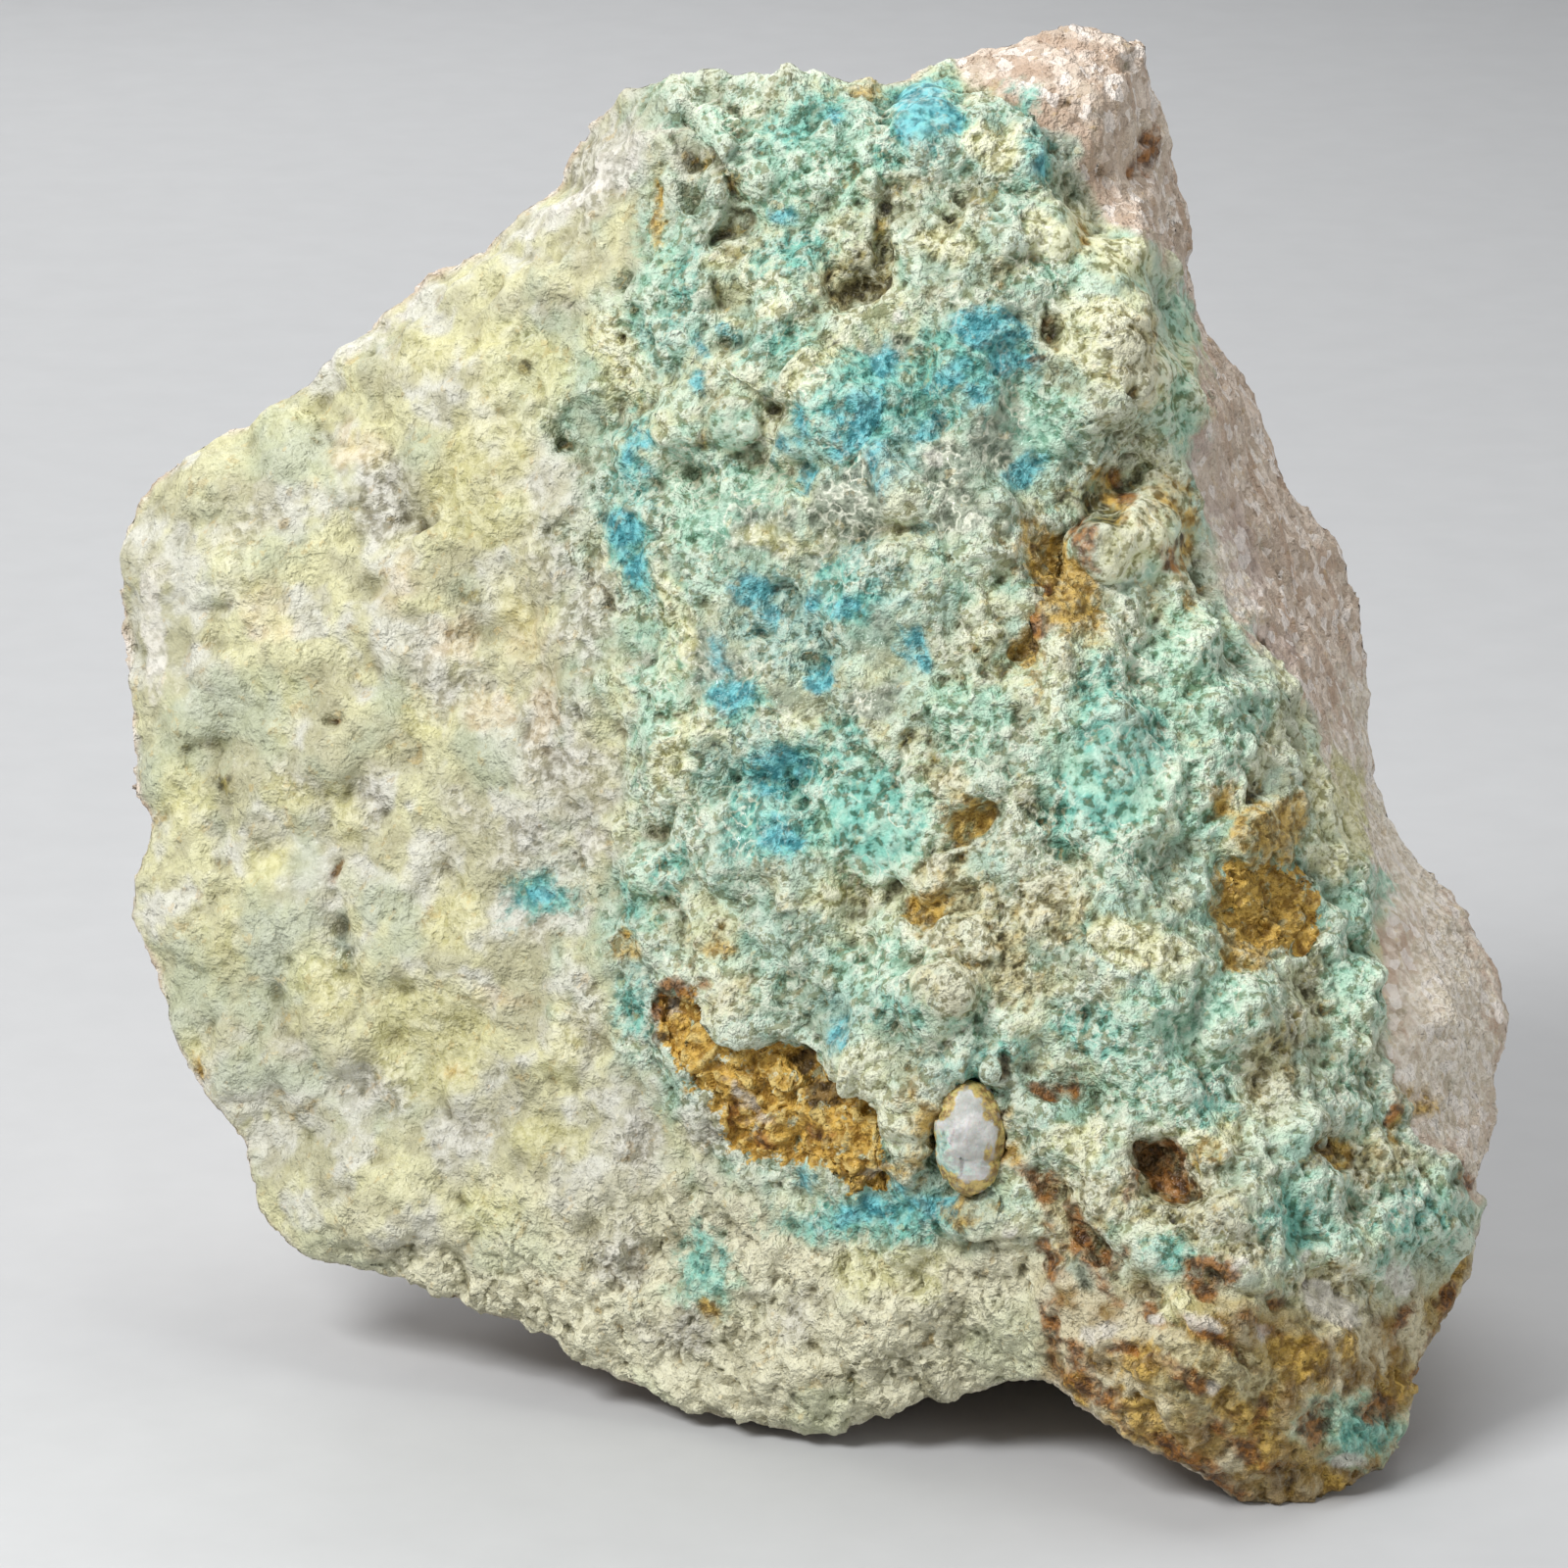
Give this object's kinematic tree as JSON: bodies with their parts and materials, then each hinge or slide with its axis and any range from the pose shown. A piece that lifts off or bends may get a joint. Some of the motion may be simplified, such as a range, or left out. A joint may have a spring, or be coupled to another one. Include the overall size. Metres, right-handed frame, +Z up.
{
  "type": "mansfieldite on quartzite",
  "caption": "Broken block of quartzite with a lumpy blue-green crust of mansfieldite, limonite patches and a set-in quartz grain, standing on its own flat foot.",
  "frame": {"origin": "middle of the whole stone's bounding box in X and Y, at the level of the flat that it rests on", "axes": "+Z up, the crusted front face towards -Y and leaning back by 17 degrees, +X to the right of the front face"},
  "size_m": [0.045, 0.0312, 0.0428],
  "materials": {
    "quartzite": "matte",
    "mansfieldite_crust": "matte",
    "limonite_centre": "matte",
    "limonite_right": "matte",
    "quartz_grain": "satin"
  },
  "bodies": {
    "root": {"quartzite": "quartzite", "mansfieldite_crust": "mansfieldite_crust", "limonite_centre": "limonite_centre", "limonite_right": "limonite_right", "quartz_grain": "quartz_grain"}
  },
  "joints": []
}
